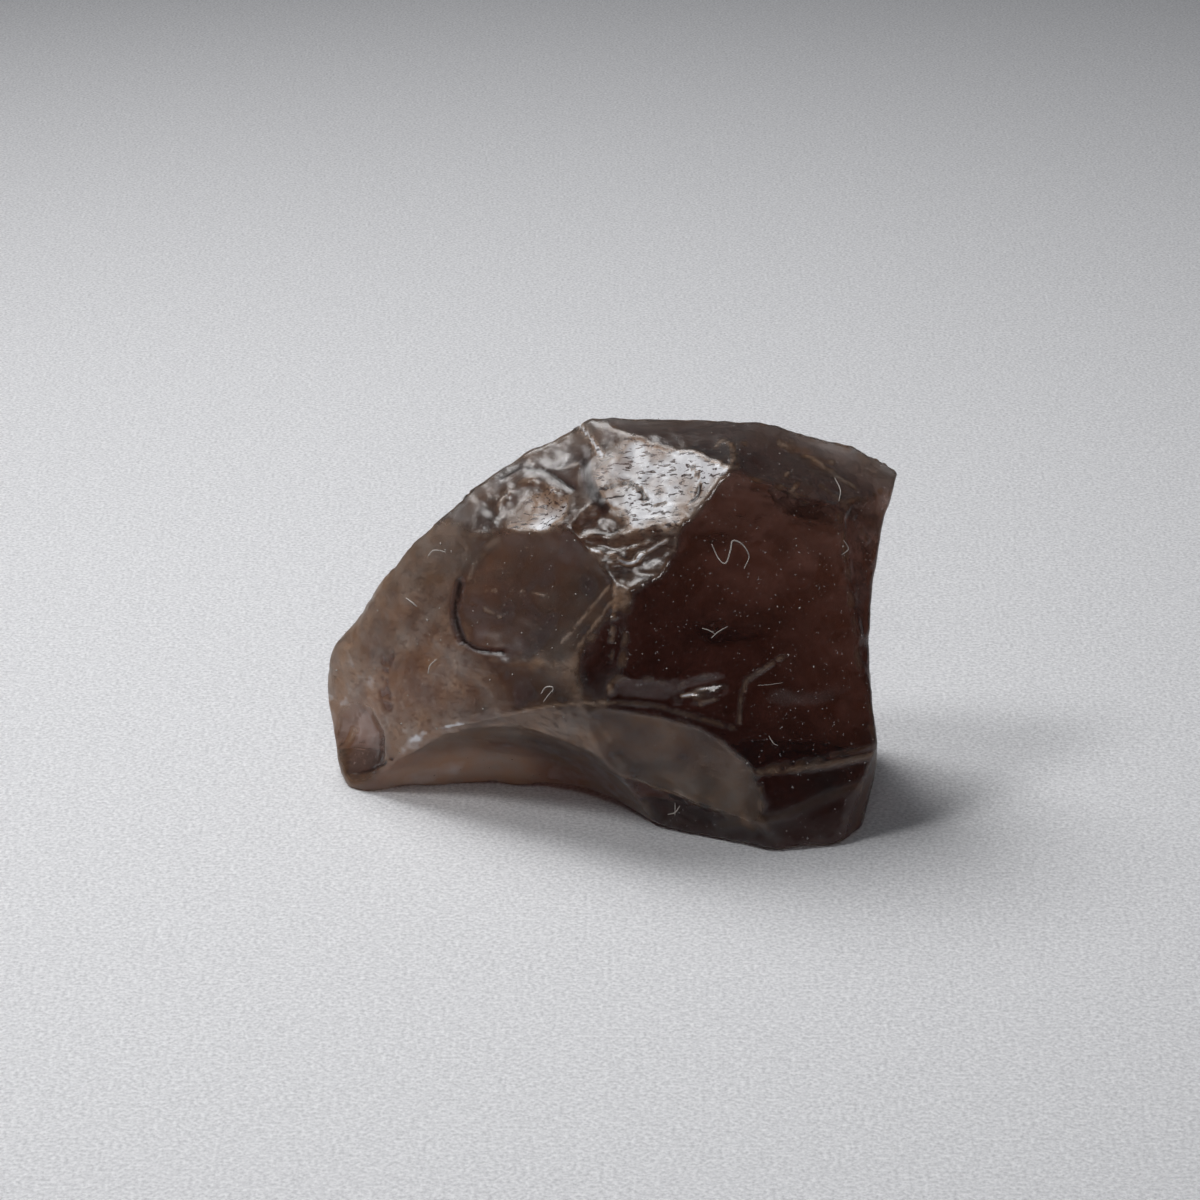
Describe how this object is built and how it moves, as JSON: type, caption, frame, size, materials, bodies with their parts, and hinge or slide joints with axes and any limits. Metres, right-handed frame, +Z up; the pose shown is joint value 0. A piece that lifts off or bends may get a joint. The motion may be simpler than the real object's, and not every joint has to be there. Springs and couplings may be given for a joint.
{
  "type": "volcanic glass specimen",
  "caption": "Small lump of smoky brown volcanic glass with shell-shaped fracture scars, a knobbed thin end and an undercut front edge; it rests on its flat underside.",
  "frame": {"origin": "on the surface the stone rests on, under the middle of its box", "axes": "+Z up; +X along the stone towards its thick end; -Y is the front, the side with the undercut edge and the bright scar above it"},
  "size_m": [0.0254, 0.0131, 0.0167],
  "materials": {
    "volcanic_glass": "smoky brown see-through glass, nearly black where it is thick; glossy fresh breaks on the right and front, satin weathered skin on the left end and the top"
  },
  "bodies": {
    "root": {"glass_stone": "volcanic_glass"}
  },
  "joints": []
}
